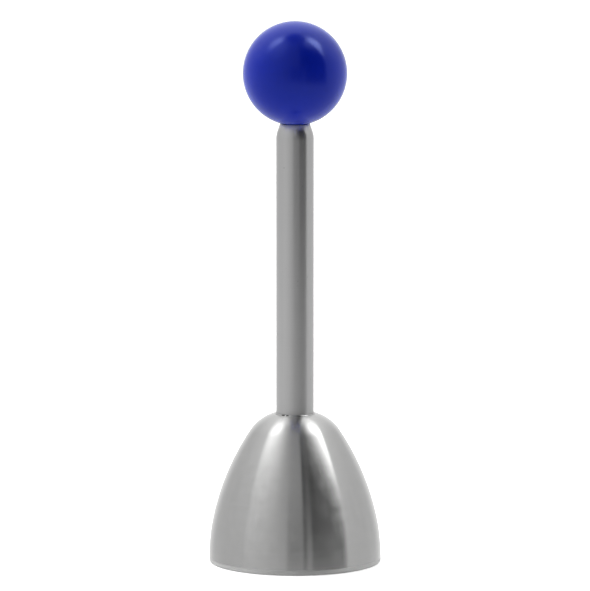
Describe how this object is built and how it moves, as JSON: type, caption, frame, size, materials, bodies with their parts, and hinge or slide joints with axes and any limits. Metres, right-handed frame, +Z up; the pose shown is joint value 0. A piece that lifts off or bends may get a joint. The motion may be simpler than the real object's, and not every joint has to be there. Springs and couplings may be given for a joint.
{
  "type": "egg topper",
  "caption": "Spring-loaded egg topper: spun steel bell with a cracking rim, slim steel tube handle and a ball knob that is lifted and let go.",
  "frame": {"origin": "centre of the circle that the bell's rim stands on", "axes": "+Z up the handle, from the rim to the ball; the piece is round about Z, and +X lies along the roll pin in the striker"},
  "size_m": [0.0412, 0.0412, 0.1307],
  "materials": {
    "bell_steel": "lathe-brushed round the axis",
    "tube_steel": "drawn tube, finely brushed",
    "turned_steel": "turned bright",
    "ground_steel": "ground and polished",
    "spring_steel": "drawn wire",
    "zinc_hardware": "bright zinc plated",
    "insert_brass": "machined",
    "bush_plastic": "acetal",
    "knob_plastic": "moulded, polished"
  },
  "bodies": {
    "handle": {"bell": "bell_steel", "handle_tube": "tube_steel", "anvil_plug": "turned_steel", "bell_screw": "zinc_hardware", "split_washer": "zinc_hardware", "plain_washer": "zinc_hardware", "guide_bush": "bush_plastic", "upper_spring_washer": "zinc_hardware", "striker_spring": "spring_steel"},
    "spring_seat": {"lower_spring_washer": "zinc_hardware"},
    "plunger": {"striker": "turned_steel", "roll_pin": "spring_steel", "plunger_rod": "ground_steel", "knob_insert": "insert_brass", "ball_knob": "knob_plastic"}
  },
  "joints": [
    {"name": "knob_lift", "type": "slide", "parent": "handle", "child": "spring_seat", "axis": [0, 0, 1], "range_m": [0, 0.025], "stiffness_N_per_m": 1000, "springref_m": -0.005, "deforming": ["striker_spring"]},
    {"name": "knob_spin", "type": "hinge", "parent": "spring_seat", "child": "plunger", "pos_m": [0, 0, 0.1], "axis": [0, 0, 1], "continuous": true}
  ]
}
